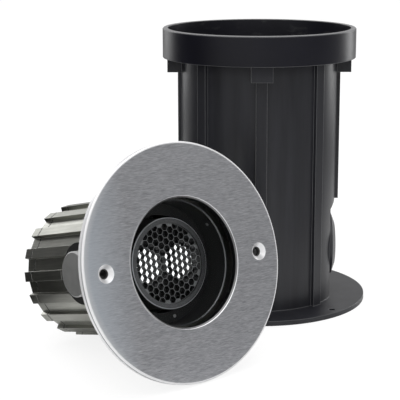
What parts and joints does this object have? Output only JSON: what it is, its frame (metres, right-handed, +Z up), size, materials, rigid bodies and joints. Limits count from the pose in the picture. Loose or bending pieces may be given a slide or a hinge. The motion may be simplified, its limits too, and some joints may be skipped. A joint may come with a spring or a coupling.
{
  "type": "in-ground well light",
  "caption": "Recessed ground light: ribbed lamp with brushed round faceplate, glass and honeycomb louvre, set beside its flanged round burial sleeve.",
  "frame": {"origin": "centre of the round drain opening, in the plane of the burial sleeve's base", "axes": "+Z up along the sleeve's axis; +X through the sleeve's conduit hub; -Y toward the side where the lamp lies with its face forward"},
  "size_m": [0.2397, 0.3061, 0.2015],
  "materials": {
    "sleeve_plastic": "satin",
    "stainless": "brushed",
    "black_rubber": "matt",
    "clear_glass": "clear",
    "cast_aluminium": "satin",
    "plug_aluminium": "satin",
    "driver_case": "matt",
    "terminal_plastic": "matt",
    "gland_nylon": "matt",
    "black_anodised": "matt",
    "led_phosphor": "matt",
    "clear_acrylic": "clear",
    "louvre_metal": "matt"
  },
  "bodies": {
    "sleeve": {"sleeve_body": "sleeve_plastic"},
    "lamp": {"faceplate": "stainless", "face_gasket": "black_rubber", "front_glass": "clear_glass", "lamp_housing": "cast_aluminium", "side_port_plug": "plug_aluminium", "driver_module": "driver_case", "terminal_block": "terminal_plastic", "rear_cover_gasket": "black_rubber", "rear_cover": "cast_aluminium", "gland_body": "gland_nylon", "gland_nut": "gland_nylon"},
    "pan": {"pan_ring": "black_anodised"},
    "optic": {"optic_can": "black_anodised", "led_chips": "led_phosphor", "tir_lenses": "clear_acrylic", "honeycomb_louvre": "louvre_metal"}
  },
  "joints": [
    {"name": "lamp_lift", "type": "slide", "parent": "sleeve", "child": "lamp", "axis": [0, 0, 1], "range_m": [0, 0.25]},
    {"name": "optic_pan", "type": "hinge", "parent": "lamp", "child": "pan", "pos_m": [-0.06692, -0.15674, 0.067], "axis": [0.612, -0.7504, 0.2499], "range_deg": [-175, 175]},
    {"name": "optic_tilt", "type": "hinge", "parent": "pan", "child": "optic", "pos_m": [-0.07121, -0.15149, 0.06525], "axis": [0.7821, 0.621, -0.0507], "range_deg": [-10, 10]}
  ]
}
